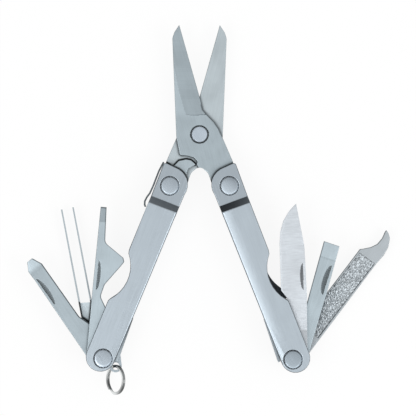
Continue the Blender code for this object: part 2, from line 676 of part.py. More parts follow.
def build():
    for obj in list(bpy.data.objects):
        bpy.data.objects.remove(obj)
    root = empty("multi_tool", None)
    add_scissors(root)
    left_upper, left_lower, left_splay = add_handle(root, LEFT)
    add_lever(left_upper, left_splay)
    leaf_layer = (FRONT_HALF[1] + 0.15, EAR_INNER[1] - LAYER_GAP)
    place("scissor_spring", prism(leaf_outline(), *leaf_layer), left_upper, SHADE_STEEL, 0.25)
    opener = bored_plate(opener_outline(), FRONT_TOOL, LEFT)
    add_tool("bottle_opener", opener, left_lower, LEFT, OPENER_SWING)
    phillips = bored_plate(phillips_outline(), MIDDLE_TOOL, LEFT)
    add_tool("phillips_driver", phillips, left_lower, LEFT, PHILLIPS_SWING)
    add_tool("tweezers", tweezers_mesh(LEFT), left_lower, LEFT, TWEEZERS_SWING)
    web_top = TWEEZERS_LOW + TWEEZERS_SHEET
    add_spacer("left_lower_washer", left_lower, web_top, TWEEZERS_LAYER[1])
    add_spacer("left_lower_spacer", left_lower, TWEEZERS_LAYER[1], MIDDLE_TOOL[0])
    add_key_ring(left_lower, left_splay)
    _, right_lower, _ = add_handle(root, RIGHT)
    knife = bored_plate(knife_outline(), FRONT_TOOL, RIGHT)
    add_tool("knife_blade", knife, right_lower, RIGHT, KNIFE_SWING, roughness=0.2)
    driver = bored_plate(driver_outline(), MIDDLE_TOOL, RIGHT)
    add_tool("flat_driver", driver, right_lower, RIGHT, DRIVER_SWING)
    file_plate = bored_plate(file_outline(), FILE_LAYER, RIGHT)
    add_tool("nail_file", file_plate, right_lower, RIGHT, FILE_SWING, SHADE_STEEL, 0.5)
    add_spacer("right_lower_washer", right_lower, WALL, FILE_LAYER[0])
    add_spacer("right_lower_spacer", right_lower, FILE_LAYER[1], MIDDLE_TOOL[0])
    centre_on_table(root)


build()
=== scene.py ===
# %% [markdown]
# # A keychain multi tool, finished part by part
# The tool lies open on its back: spring scissors between two folded-sheet handles, and three small
# tools fanned out of each handle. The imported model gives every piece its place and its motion. This
# lesson gives the pieces what a press, a grinding wheel and a polishing belt leave on them: eased
# edges, a bent spine, hollow-ground blades, nail nicks, grit on the file and knurled pin heads.
#
# Lengths are in metres, because the model is. Small ones are written as a number times MM.

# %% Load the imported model
import math

import bmesh
import bpy
import numpy as np
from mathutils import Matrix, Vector

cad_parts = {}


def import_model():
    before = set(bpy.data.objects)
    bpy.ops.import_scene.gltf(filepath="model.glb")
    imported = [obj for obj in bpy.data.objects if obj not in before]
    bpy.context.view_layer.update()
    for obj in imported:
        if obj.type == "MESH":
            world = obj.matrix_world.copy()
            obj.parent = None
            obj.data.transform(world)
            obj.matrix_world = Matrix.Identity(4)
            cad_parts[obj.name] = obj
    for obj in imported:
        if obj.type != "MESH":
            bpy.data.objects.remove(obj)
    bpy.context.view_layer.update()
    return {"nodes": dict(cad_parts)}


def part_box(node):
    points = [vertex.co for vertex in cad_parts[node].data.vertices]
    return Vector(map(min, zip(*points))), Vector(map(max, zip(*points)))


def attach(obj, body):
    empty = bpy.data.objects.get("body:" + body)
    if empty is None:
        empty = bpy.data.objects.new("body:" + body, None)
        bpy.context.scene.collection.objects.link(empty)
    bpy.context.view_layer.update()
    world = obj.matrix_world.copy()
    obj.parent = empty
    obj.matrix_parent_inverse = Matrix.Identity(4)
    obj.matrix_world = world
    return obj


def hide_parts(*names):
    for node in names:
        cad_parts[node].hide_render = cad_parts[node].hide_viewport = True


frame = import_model()
MM = 0.001

# %% [markdown]
# ## The camera
# A small flat tool shows best from straight above through a long lens, because every face is then
# seen square on. A 260 mm lens about 0.9 m above the faces does that, and it aims almost at the
# middle of the open tool. The camera comes first, because it judges every later choice.

# %% Camera straight above
def placed(name, data):
    """New object at the origin with the given data, in the scene."""
    thing = bpy.data.objects.new(name, data)
    bpy.context.scene.collection.objects.link(thing)
    return thing


VIEW_WIDTH = 124.6 * MM
VIEW_MIDDLE = (-0.34 * MM, 0.56 * MM)
FACE_HEIGHT = 9.0 * MM
LENS = 260.0
SENSOR = 36.0
lens = bpy.data.cameras.new("camera")
lens.lens = LENS
lens.sensor_width = SENSOR
lens.clip_start = 0.01
lens.clip_end = 50.0
camera = placed("camera", lens)
camera.location = (*VIEW_MIDDLE, FACE_HEIGHT + VIEW_WIDTH * LENS / SENSOR)
bpy.context.scene.camera = camera
print("camera height in mm", round(camera.location.z / MM, 1))

# %% [markdown]
# ## Light and floor
# Bare steel has hardly any colour of its own: it shows the room. The flat faces look straight up, so
# the top of the sky is an even pale grey. Bends, bevels and steps look lower down, where a darker sky
# draws the thin dark lines along them. It is darkest on one side, so that the two handles don't look
# alike. A pale band at the horizon stands for white walls, and lets the floor end without an edge.
# Two soft lamps give the bends their bright lines and the tool its faint shadow.

# %% Helpers for shader nodes
def node_input(tree, node, socket, value):
    """Links an output into a socket, or sets the socket to a plain value."""
    if isinstance(value, bpy.types.NodeSocket):
        tree.links.new(value, node.inputs[socket])
    else:
        node.inputs[socket].default_value = value


def add_node(tree, kind, settings=None, **inputs):
    """New shader node: settings are its own fields, and inputs are its sockets by name."""
    node = tree.nodes.new(kind)
    for key, value in (settings or {}).items():
        setattr(node, key, value)
    for key, value in inputs.items():
        node_input(tree, node, key.replace("_", " "), value)
    return node


def ramp(tree, factor, stops):
    """Grey that follows (position, value) stops, straight from one stop to the next."""
    node = add_node(tree, "ShaderNodeValToRGB", Fac=factor)
    band = node.color_ramp
    while len(band.elements) < len(stops):
        band.elements.new(0.5)
    for element, (position, value) in zip(band.elements, stops):
        element.position = position
        element.color = (value, value, value, 1.0)
    return node.outputs["Color"]


def remap(tree, value, low, high, to_low, to_high):
    """Number carried evenly from low and high onto to_low and to_high."""
    return add_node(tree, "ShaderNodeMapRange", Value=value, From_Min=low, From_Max=high,
                    To_Min=to_low, To_Max=to_high).outputs[0]


def arithmetic(tree, operation, first, second):
    """Two numbers added, subtracted or multiplied."""
    node = add_node(tree, "ShaderNodeMath", {"operation": operation})
    node_input(tree, node, 0, first)
    node_input(tree, node, 1, second)
    return node.outputs[0]


def combine(tree, kind, first, second):
    """Product of two colours, or the lighter of them."""
    node = add_node(tree, "ShaderNodeMix", {"data_type": "RGBA", "blend_type": kind})
    for socket, value in ((0, 1.0), (6, first), (7, second)):
        node_input(tree, node, socket, value)
    return node.outputs[2]


# %% World
SKY_BY_HEIGHT = ((0.0, 0.50), (0.12, 0.58), (0.38, 0.86), (0.66, 0.98), (1.0, 0.90))
SKY_BY_SIDE = ((0.0, 1.30), (0.5, 1.0), (0.75, 0.80), (1.0, 0.50))
HORIZON_BAND = ((0.0, 0.92), (0.04, 0.92), (0.09, 0.0))
WIDEST = 1.4  # the most that y - x of a direction can be
world = bpy.data.worlds.new("studio")
bpy.context.scene.world = world
world.use_nodes = True
sky = world.node_tree
sky.nodes.clear()
direction = add_node(sky, "ShaderNodeTexCoord").outputs["Generated"]
x, y, z = add_node(sky, "ShaderNodeSeparateXYZ", Vector=direction).outputs
side = remap(sky, arithmetic(sky, "SUBTRACT", y, x), -WIDEST, WIDEST, 0.0, 1.0)
shaded = combine(sky, "MULTIPLY", ramp(sky, z, SKY_BY_HEIGHT), ramp(sky, side, SKY_BY_SIDE))
shown = combine(sky, "LIGHTEN", shaded, ramp(sky, z, HORIZON_BAND))
room = add_node(sky, "ShaderNodeBackground", Color=shown, Strength=1.0)
add_node(sky, "ShaderNodeOutputWorld", Surface=room.outputs[0])
print("sky nodes", len(sky.nodes))

# %% Lamps, which look at the middle of the tool
for name, place, size, power in (("key_lamp", (-0.36, -0.26, 0.74), 0.40, 1.3),
                                 ("fill_lamp", (0.48, -0.20, 0.62), 0.34, 0.9)):
    lamp = bpy.data.lights.new(name, "AREA")
    lamp.shape = "SQUARE"
    lamp.size = size
    lamp.energy = power
    holder = placed(name, lamp)
    holder.location = place
    holder.rotation_euler = (-Vector(place)).to_track_quat("-Z", "Y").to_euler()
    print(name, power, "W")

# %% Floor
FLOOR_HALF = 4.0
FLOOR_GLOW = 0.88
floor_mesh = bpy.data.meshes.new("floor")
corners = [(x * FLOOR_HALF, y * FLOOR_HALF, 0) for x, y in ((-1, -1), (1, -1), (1, 1), (-1, 1))]
floor_mesh.from_pydata(corners, [], [(0, 1, 2, 3)])
floor = placed("floor", floor_mesh)
paper = bpy.data.materials.new("floor_paper")
paper.use_nodes = True
tree = paper.node_tree
tree.nodes.clear()
matt = add_node(tree, "ShaderNodeBsdfDiffuse", Color=(0.9, 0.9, 0.9, 1.0))
glow = add_node(tree, "ShaderNodeEmission", Color=(1.0, 1.0, 1.0, 1.0), Strength=1.0)
path = add_node(tree, "ShaderNodeLightPath").outputs
seen = arithmetic(tree, "ADD", path["Is Camera Ray"], path["Is Glossy Ray"])
lit = add_node(tree, "ShaderNodeMixShader", Fac=arithmetic(tree, "MULTIPLY", seen, FLOOR_GLOW))
node_input(tree, lit, 1, matt.outputs[0])
node_input(tree, lit, 2, glow.outputs[0])
add_node(tree, "ShaderNodeOutputMaterial", Surface=lit.outputs[0])
floor_mesh.materials.append(paper)
bpy.context.scene.view_settings.view_transform = "Standard"
print("floor half width in m", FLOOR_HALF)

# %% [markdown]
# ## Brushed steel
# Stainless sheet gets its satin look from a belt, which leaves fine scratches that all run one way.
# A scratch is far longer than it is wide, so the pattern is noise that is stretched along the grain.
# It moves the roughness and the height a little, and the colour hardly at all. A second, much softer
# noise makes the broad uneven sheen that handling leaves. Where a piece carries a tone attribute,
# its value darkens or brightens that place. Mostly it is painted shade and painted highlights, and
# sometimes real marks such as grit and hatching.

# %% Steel material
def steel(name, colour, roughness, grain, scratch=0.03, pitch=0.16 * MM, length=9.0 * MM,
          cloud=0.06, toned=True):
    """Brushed metal: stretched noise turned by the grain angle in degrees, on Object coordinates.

    A scratch is a pitch wide and a length long. It moves the colour by 1.6 times scratch, and the
    broad sheen moves it by cloud."""
    material = bpy.data.materials.new(name)
    material.use_nodes = True
    tree = material.node_tree
    place = add_node(tree, "ShaderNodeTexCoord").outputs["Object"]
    turned = add_node(tree, "ShaderNodeMapping", {"vector_type": "TEXTURE"}, Vector=place,
                      Rotation=(0.0, 0.0, math.radians(grain)), Scale=(pitch, length, pitch))
    lines = add_node(tree, "ShaderNodeTexNoise", Vector=turned.outputs[0], Scale=1.0, Detail=3.0,
                     Roughness=0.6).outputs["Fac"]
    sheen = add_node(tree, "ShaderNodeTexNoise", Vector=place, Scale=160.0, Detail=2.0).outputs["Fac"]
    wear = ramp(tree, sheen, ((0.3, 1.0 - cloud), (0.7, 1.0 + cloud)))
    fine = ramp(tree, lines, ((0.25, 1.0 - scratch * 1.6), (0.75, 1.0 + scratch * 1.6)))
    shade = combine(tree, "MULTIPLY", wear, fine)
    # The tone attribute holds painted shade and painted highlights, as well as real marks.
    if toned:
        tone = add_node(tree, "ShaderNodeAttribute", {"attribute_name": "tone"}).outputs["Fac"]
        shade = combine(tree, "MULTIPLY", shade, tone)
    base = combine(tree, "MULTIPLY", (*colour, 1.0), shade)
    rough = remap(tree, lines, 0.3, 0.7, roughness * 0.85, roughness * 1.2)
    bump = add_node(tree, "ShaderNodeBump", Strength=1.0, Distance=scratch * 0.02 * MM, Height=lines)
    shader = tree.nodes["Principled BSDF"]
    for socket, value in (("Base Color", base), ("Roughness", rough), ("Metallic", 1.0),
                          ("Normal", bump.outputs[0])):
        node_input(tree, shader, socket, value)
    return material


HANDLE_BLUE = (0.44, 0.50, 0.55)
BLADE_GREY = (0.42, 0.49, 0.53)
DARK_GREY = (0.30, 0.34, 0.37)
print("handle colour", HANDLE_BLUE)

# %% [markdown]
# ## Pressed sheet with eased edges
# The handles, the springs, the lever and the tweezers are sheet metal, cut and folded in a press and
# then tumbled, which takes the sharpness off every edge. Their imported shapes are already right, so
# each is a merged copy with a small bevel along every edge. An eased edge looks away from the pale
# top of the sky, and painted shade in the tone darkens it further. Painted shade also makes a cut
# side a little darker than a face.

# %% Copies, pieces and their arrays
def gather(items, field, width=1, kind=float):
    """One field of many mesh elements as an array, with a row for each if it has several values."""
    values = np.empty(width * len(items), dtype=kind)
    items.foreach_get(field, values)
    return values.reshape(-1, width) if width > 1 else values


def merged_copy(node):
    """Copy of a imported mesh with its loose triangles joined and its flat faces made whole."""
    work = bmesh.new()
    work.from_mesh(frame["nodes"][node].data)
    bmesh.ops.remove_doubles(work, verts=work.verts, dist=0.002 * MM)
    bmesh.ops.dissolve_limit(work, angle_limit=math.radians(0.6), verts=work.verts, edges=work.edges)
    return work


def applied(piece):
    """New mesh of a piece with its modifiers applied."""
    graph = bpy.context.evaluated_depsgraph_get()
    return bpy.data.meshes.new_from_object(piece.evaluated_get(graph))


def split(work, planes):
    """Splits the faces of a bmesh at planes, each a point and a normal."""
    for point, normal in planes:
        everything = work.verts[:] + work.edges[:] + work.faces[:]
        bmesh.ops.bisect_plane(work, geom=everything, plane_co=point, plane_no=normal)


def finished(name, mesh, body, *nodes, smooth=38.0):
    """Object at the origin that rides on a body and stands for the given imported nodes."""
    mesh.name = name
    if smooth is not None:
        mesh.shade_smooth()
        mesh.set_sharp_from_angle(angle=math.radians(smooth))
    piece = placed(name, mesh)
    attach(piece, body)
    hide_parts(*nodes)
    return piece


def dress(piece, material):
    """Gives a piece its material."""
    piece.data.materials.append(material)


# %% Tone and shading of sheet
UPRIGHT = 0.08  # a face is a cut side if its normal points up by less than this
# Cut sides get this painted shade.
CUT_SIDE_SHADE = 0.85


def rise(value, low, high):
    """0 below low, 1 above high, and an even S in between."""
    t = np.clip((value - low) / (high - low), 0, 1)
    return t * t * (3 - 2 * t)


def corner_arrays(mesh):
    """Vertex number, face normal and vertex position of every face corner."""
    vertex = gather(mesh.loops, "vertex_index", kind=int)
    sides = gather(mesh.polygons, "loop_total", kind=int)
    normals = np.repeat(gather(mesh.polygons, "normal", 3), sides, axis=0)
    return vertex, normals, gather(mesh.vertices, "co", 3)[vertex]


def sheet_shade(normals, points):
    """Painted shade of a sheet: 1 on its faces, darker round its eased edges and on its cut sides."""
    level = np.abs(normals[:, 2])
    return np.where(level < UPRIGHT, CUT_SIDE_SHADE, 0.34 + 0.66 * rise(level, 0.30, 0.90))


def weighted_normals(mesh, lean=None):
    """Vertex normals = sum of face normals times area squared, so that flat faces stay flat.

    lean(points, normals) may add a tilt to them before they are stored."""
    vertex, corners, _ = corner_arrays(mesh)
    sides = gather(mesh.polygons, "loop_total", kind=int)
    area = gather(mesh.polygons, "area")
    weight = np.repeat((area / MM ** 2) ** 2, sides)[:, None] + 1e-6
    total = np.zeros((len(mesh.vertices), 3))
    np.add.at(total, vertex, corners * weight)
    normals = total / np.maximum(np.linalg.norm(total, axis=1, keepdims=True), 1e-12)
    if lean is not None:
        normals = normals + lean(gather(mesh.vertices, "co", 3), normals)
        normals /= np.linalg.norm(normals, axis=1, keepdims=True)
    mesh.normals_split_custom_set_from_vertices(normals.tolist())


# %% Eased copy
SHARP = math.radians(32)
WIDEST_ROUND = 1.4 * MM


def eased(name, node, body, width, bend=None, cuts=(), tone=sheet_shade, segments=3, lean=None,
          fine=()):
    """Merged copy whose sharp edges are rounded by width, or by what bend returns if that is more.

    Faces are split at the cuts before that. The fine cuts come last, and give a flat face the
    corners that a painted line needs. tone(normals, points) is stored on the face corners."""
    work = merged_copy(node)
    split(work, cuts)
    layer = work.edges.layers.float.new("bevel_weight_edge")
    widest = WIDEST_ROUND if bend else width
    for edge in work.edges:
        if len(edge.link_faces) == 2 and edge.calc_face_angle() > SHARP:
            edge[layer] = max(width, bend(edge) if bend else 0.0) / widest
    blank = placed(name + "_blank", bpy.data.meshes.new(name + "_blank"))
    work.to_mesh(blank.data)
    work.free()
    blank.data.shade_smooth()
    bevel = blank.modifiers.new("ease", "BEVEL")
    bevel.limit_method = "WEIGHT"
    bevel.width = widest
    bevel.segments = segments
    bevel.use_clamp_overlap = bend is None
    mesh = applied(blank)
    bpy.data.objects.remove(blank)
    if fine:
        work = bmesh.new()
        work.from_mesh(mesh)
        split(work, fine)
        work.to_mesh(mesh)
        work.free()
    tones = tone(*corner_arrays(mesh)[1:]).astype(np.float32)
    mesh.attributes.new("tone", "FLOAT", "CORNER").data.foreach_set("value", tones)
    weighted_normals(mesh, lean)
    return finished(name, mesh, body, node, smooth=None)


# %% [markdown]
# ## Handles
# Each handle is one sheet folded to a channel. The spine's long outer edges are bent, not cut, so
# they get a round about as wide as the sheet is thick, and the flat face's shading already leans
# over a little beside them. Painted shade makes the sloped step below the ears the darkest place and
# darkens the round and the rims. The rims of the round pin seats get a painted highlight on one side
# and painted shade on the other. Places are in the handle's own frame: s across it towards the
# spine, and d along it from the lower pin.

# %% Frame of a handle or tool
def middle(node):
    """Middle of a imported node's box."""
    low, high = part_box(node)
    return (Vector(low) + Vector(high)) / 2


def tool_frame(pin, turn, hand):
    """Functions from the world to (s, d) beside and along a tool, and from (s, d) to the world.

    The tool is turned about its pin by degrees. s grows to the right, or to the left if hand is -1."""
    angle = math.radians(turn)
    side = np.array((math.cos(angle), math.sin(angle))) * hand
    along = np.array((-math.sin(angle), math.cos(angle)))
    start = np.array(pin[:2])

    def local(points):
        flat = points[..., :2] - start
        return flat @ side, flat @ along

    def world(s, d):
        return start + np.multiply.outer(s, side) + np.multiply.outer(d, along)

    return local, world


LEFT_SPLAY, RIGHT_SPLAY = 21.1, 20.1
LEFT_PIN, RIGHT_PIN = middle("left_lower_pin"), middle("right_lower_pin")
left_local, left_world = tool_frame(LEFT_PIN, -LEFT_SPLAY, 1)
right_local, right_world = tool_frame(RIGHT_PIN, RIGHT_SPLAY, -1)
print("lower pins apart in mm", round((RIGHT_PIN - LEFT_PIN).length / MM, 1))

# %% Handle shells
PIN_SPACING = 55.3 * MM
BEND_LOW, BEND_HIGH = 15.8 * MM, 46.8 * MM
SPINE_SIDE, SPINE_LEAN = 3.58 * MM, 0.027
OUTER_FACE = 5.5 * MM  # from the middle of the handle's thickness
SEAT_RIM, SEAT_LOW, SEAT_HIGH = 3.3 * MM, 10.8 * MM, 11.2 * MM
SHADOW_SIDE = math.radians(135)
FLAT = 0.97  # a face is level if its normal points up by more than this


def spine_side(d):
    """Outer side of the spine: it leans out by SPINE_LEAN along the handle."""
    return SPINE_SIDE + SPINE_LEAN * d


def lit_side(angle):
    """0 on the shaded side of a round seat or head, and 1 on its lit side."""
    return rise(0.5 - 0.5 * np.cos(angle - SHADOW_SIDE), 0.30, 0.95)


def handle_shell(handle, pin, splay, hand, radius, step_shades, crown):
    """Eased handle, whose spine gets a round of the given radius along its two long edges.

    The two step tones are painted shade on the sloped step at the mouth and at the spine, and crown is
    how far the shading leans over where the flat face starts to bend."""
    turn = math.radians(-hand * splay)
    along = Vector((-math.sin(turn), math.cos(turn), 0))
    across = Vector((along.y, -along.x, 0)) * hand
    local = left_local if hand > 0 else right_local

    def bend(edge):
        """Radius of the round on the spine's two outer edges, and 0 elsewhere."""
        a, b = (vertex.co - pin for vertex in edge.verts)
        d_low, d_high = sorted((a.dot(along), b.dot(along)))
        on_spine = min(a.dot(across), b.dot(across)) > 3.2 * MM
        outer = min(abs(a.z), abs(b.z)) > OUTER_FACE
        within = d_low > BEND_LOW - 0.1 * MM and d_high < BEND_HIGH + 0.1 * MM
        return radius if within and on_spine and outer and d_high - d_low > 8 * MM else 0.0

    def tone(normals, points):
        """Tones of the faces, and painted shade and light on the spine's round, the rims, the pin seats
        and the step.
        """
        s, d = local(points)
        level = np.abs(normals[:, 2])
        in_bend = (s > spine_side(d) - radius - 0.2 * MM) & (d > BEND_LOW - 1.6 * MM)
        # Painted shade on the spine's round and on the rims, darkest where they face sideways.
        round_shade = 0.20 + 0.80 * rise(level, 0.55, 0.88)
        rim_shade = 0.26 + 0.74 * rise(level, 0.86, 0.995)
        tones = np.where(in_bend, round_shade, rim_shade)
        tones = np.where((level > FLAT) & (d > BEND_HIGH + 2 * MM), 0.84 * tones, tones)
        # Round each pin seat: a painted highlight on the lit side of its rim and floor, painted shade on
        # the other.
        for centre in (pin, pin + PIN_SPACING * along):
            x = points[:, 0] - centre.x
            y = points[:, 1] - centre.y
            lit = lit_side(np.arctan2(y, x))
            seat = np.hypot(x, y) < SEAT_RIM
            tones = np.where(seat & (level < FLAT), 0.85 + 0.8 * lit, tones)
            seat &= (level > FLAT) & (points[:, 2] > SEAT_LOW) & (points[:, 2] < SEAT_HIGH)
            tones = np.where(seat, 0.04 + 0.7 * lit, tones)
        # Cut sides get painted shade, and the spine's bent side does not.
        tones = np.where(level < UPRIGHT, np.where(in_bend, 1.0, CUT_SIDE_SHADE), tones)
        # The sloped step gets painted shade, graded from the mouth to the spine.
        sloped = (np.abs(normals @ np.array(along)) > 0.45) & (level > 0.5)
        step = step_shades[0] + rise(s, -5.5 * MM, 3.5 * MM) * (step_shades[1] - step_shades[0])
        return np.where(sloped, step, tones)

    def lean(points, normals):
        """Tilt towards the spine at the edge of the flat face, where the sheet starts to bend."""
        s, d = local(points)
        face = (np.abs(normals[:, 2]) > 0.995) & (np.abs(points[:, 2] - pin.z) > OUTER_FACE)
        near = s > spine_side(d) - radius - 0.3 * MM
        within = (d > -1.0 * MM) & (d < BEND_HIGH + 3 * MM)
        return np.where((face & near & within)[:, None], crown * np.array(across), 0.0)

    start = Vector((pin.x, pin.y, 0))
    cuts = [(start + along * d, along) for d in (BEND_LOW - 1.5 * MM, BEND_LOW, BEND_HIGH)]
    slant = (across - SPINE_LEAN * along).normalized()
    cuts.append((start + across * (SPINE_SIDE - radius - 2.6 * MM), slant))
    piece = eased(handle + "_shell", handle, handle, 0.26 * MM, bend=bend, cuts=cuts, tone=tone,
                  segments=6, lean=lean)
    dress(piece, steel(handle + "_satin", HANDLE_BLUE, 0.34, -hand * splay, cloud=0.015))
    print(piece.name, "faces", len(piece.data.polygons))
    return piece


handle_shell("left_handle", LEFT_PIN, LEFT_SPLAY, 1, 1.2 * MM, (0.39, 0.32), 0.06)
right_handle = handle_shell("right_handle", RIGHT_PIN, RIGHT_SPLAY, -1, 1.35 * MM, (0.31, 0.10), 0.16)

# %% [markdown]
# ## Blades as a height over two edges
# A knife, a driver and a scissor half all start as a flat blank. The blank's two edges come from the
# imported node: the tool is cut into hundreds of stations along its length, and each station runs from
# the left edge to the right. Over that grid the face is a height: the sheet's own thickness, less
# what a wheel or a press took away. So an eased edge, a hollow grind, a ground tip and a nail nick
# are all written as a depth that is taken off at a distance s across the tool and d along it.

# %% Outline of a packed plate
TOP_EDGE = 0.02 * MM


def packed_points(node):
    """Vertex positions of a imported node, as an array (vertices, 3)."""
    return gather(frame["nodes"][node].data.vertices, "co", 3)


def plate_edges(node, local, stations):
    """Lowest and highest s at which the top outline of a packed plate crosses each station."""
    points = packed_points(node)
    pairs = gather(frame["nodes"][node].data.edges, "vertices", 2, int)
    top = points[:, 2] > points[:, 2].max() - TOP_EDGE
    pairs = pairs[top[pairs].all(axis=1)]
    s, d = local(points)
    pairs = pairs[np.abs(d[pairs[:, 1]] - d[pairs[:, 0]]) > 1e-9]
    (sa, sb), (da, db) = s[pairs].T, d[pairs].T
    share = (stations[:, None] - da) / (db - da)
    cross = np.where((share >= -1e-6) & (share <= 1 + 1e-6), sa + share * (sb - sa), np.nan)
    return np.nanmin(cross, axis=1), np.nanmax(cross, axis=1)


# %% [markdown]
# ## Dark lines beside a covering piece
# Where one plate lies over another, the gap between them is too narrow for light to get in, and a
# fine dark line runs along the upper one's edge. The line is written into the lower piece's tone, at
# the outline of the piece that covers it, so it stays with the lower piece when the two move apart.

# %% Distance from a covering piece
def outline(node, low=None):
    """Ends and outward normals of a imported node's level outline edges, in plan.

    Only edges above a height count, or those of the top face."""
    work = merged_copy(node)
    work.normal_update()
    low = max(vertex.co.z for vertex in work.verts) - TOP_EDGE if low is None else low
    rows = []
    for edge in work.edges:
        a, b = (vertex.co for vertex in edge.verts)
        walls = [face.normal for face in edge.link_faces if abs(face.normal.z) < 0.5]
        if walls and min(a.z, b.z) > low and abs(a.z - b.z) < 0.01 * MM:
            rows.append((a[:2], b[:2], walls[0].xy.normalized()[:]))
    work.free()
    return np.array(rows)


def beside(node, plan, width, low=None, under=0.08 * MM):
    """1 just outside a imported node's outline, falling to 0 as exp(-(distance / width)^2).

    It reaches a short way under the node, too, where a deep face is seen past the outline."""
    flat = plan.reshape(-1, 2)
    nearest = np.full(len(flat), 1.0)
    for a, b, outward in outline(node, low):
        along = b - a
        t = np.clip(((flat - a) @ along) / max(along @ along, 1e-14), 0, 1)
        gap = flat - a - t[:, None] * along
        outside = gap @ outward > -under
        nearest = np.minimum(nearest, np.where(outside, np.hypot(gap[:, 0], gap[:, 1]), 1.0))
    return np.exp(-(nearest / width) ** 2).reshape(plan.shape[:-1])


EAR_LOW = 8.5 * MM
print("outline edges of a left ear and wall", len(outline("left_handle", EAR_LOW)))

# %% [markdown]
# ## A closed grid
# A blade is a tube of rows: each station's row goes over the top face and back along the lower one,
# and the end rows are pressed flat. The same helper makes the lip, the pins and the key ring, which
# are also rows of points that are carried along a path and shut at its ends.

# %% Closed grid and blade
EASE = 0.15 * MM
THINNEST = 0.04 * MM


def closed_grid(name, rows, tone):
    """Mesh of a tube of closed rows (rows, around, 3), each joined to the next, with shut ends."""
    count, around = rows.shape[:2]
    mesh = bpy.data.meshes.new(name)
    index = np.arange(count * around).reshape(count, around)
    ahead = np.roll(index, -1, axis=1)
    quads = np.stack((index[:-1], ahead[:-1], ahead[1:], index[1:]), axis=-1).reshape(-1, 4)
    mesh.from_pydata(rows.reshape(-1, 3), [], quads.tolist())
    layer = mesh.attributes.new("tone", "FLOAT", "POINT")
    layer.data.foreach_set("value", tone.reshape(-1).astype(np.float32))
    work = bmesh.new()
    work.from_mesh(mesh)
    bmesh.ops.remove_doubles(work, verts=work.verts, dist=0.0004 * MM)
    bmesh.ops.dissolve_degenerate(work, dist=0.0002 * MM, edges=work.edges)
    holes = [edge for edge in work.edges if edge.is_boundary]
    if holes:
        bmesh.ops.holes_fill(work, edges=holes, sides=0)
    bmesh.ops.recalc_face_normals(work, faces=work.faces)
    work.to_mesh(mesh)
    work.free()
    return mesh


def blade(name, node, body, place, shape, across, step=0.16 * MM, ease=EASE, dark=0.40,
          right_edge_shade=1.0):
    """Plate between its edges: height = blank - eased edges - depths of shape(s, d), which is in mm
    and returns the depth taken off the top, the depth taken off the underside and the top's tone.

    The dark tone is painted shade on the eased edges, and the side tone on a thin strip along the right
    edge."""
    local, world = place
    points = packed_points(node)
    low_d, high_d = np.sort(local(points)[1])[[0, -1]]
    low_z, high_z = np.sort(points[:, 2])[[0, -1]]
    arc = np.linspace(0.0, math.pi / 2, 5)
    inset = ease * (1 - np.cos(arc))
    fall = ease * (1 - np.sin(arc))
    inner = np.arange(low_d + ease + step, high_d - ease - step / 2, step)
    stations = np.concatenate((low_d + inset, inner, high_d - inset[::-1]))
    stations = np.clip(stations, low_d + 1e-7, high_d - 1e-7)
    end_fall = np.concatenate((fall, np.zeros(len(inner)), fall[::-1]))
    left, right = (edge[:, None] for edge in plate_edges(node, local, stations))
    width = np.maximum(right - left, 1e-7)
    near = np.minimum(inset, 0.45 * width)
    share = np.linspace(0.0, 1.0, across)[1:-1]
    flat = left + near[:, -1:] + share * (width - 2 * near[:, -1:])
    s = np.concatenate((left + near, flat, right - near[:, ::-1]), axis=1)
    side_fall = np.concatenate((fall, np.zeros(across - 2), fall[::-1]))
    drop = np.maximum(side_fall, end_fall[:, None])
    d = np.repeat(stations[:, None], s.shape[1], axis=1)
    off_top, off_low, tone = shape(s / MM, d / MM)
    top = high_z - drop - off_top * MM
    under = low_z + drop + off_low * MM
    core = (top + under) / 2
    top = np.maximum(top, core + THINNEST / 2)
    under = np.minimum(under, core - THINNEST / 2)
    plan = world(s, d)
    face = np.concatenate((plan, top[..., None]), axis=-1)
    back = np.concatenate((plan, under[..., None]), axis=-1)[:, ::-1]
    rows = np.concatenate((face, back), axis=1)
    # Painted shade on the eased edges and ends, deepest partway round the ease.
    rim = np.interp(drop / ease, (0.0, 0.08, 0.3, 0.62, 1.0), (1.0, 0.85, dark + 0.1, dark, 0.85))
    # Painted shade on a thin strip along the right edge.
    tone = tone * (1 - (1 - right_edge_shade) * rise(s - right, -0.34 * MM, -0.18 * MM))
    tones = np.concatenate((tone * rim, rim[:, ::-1]), axis=1)
    seam = np.concatenate((plan, core[..., None]), axis=-1)
    ends = np.concatenate((seam, seam[:, ::-1]), axis=1)
    rows = np.concatenate((ends[:1], rows, ends[-1:]))
    tones = np.concatenate((tones[:1], tones, tones[-1:]))
    piece = finished(name, closed_grid(name, rows, tones), body, node)
    print(name, "stations", len(stations), "faces", len(piece.data.polygons))
    return piece


# %% Nail nick
NICK_DEPTH = 0.14
NICK_HATCH = 0.62


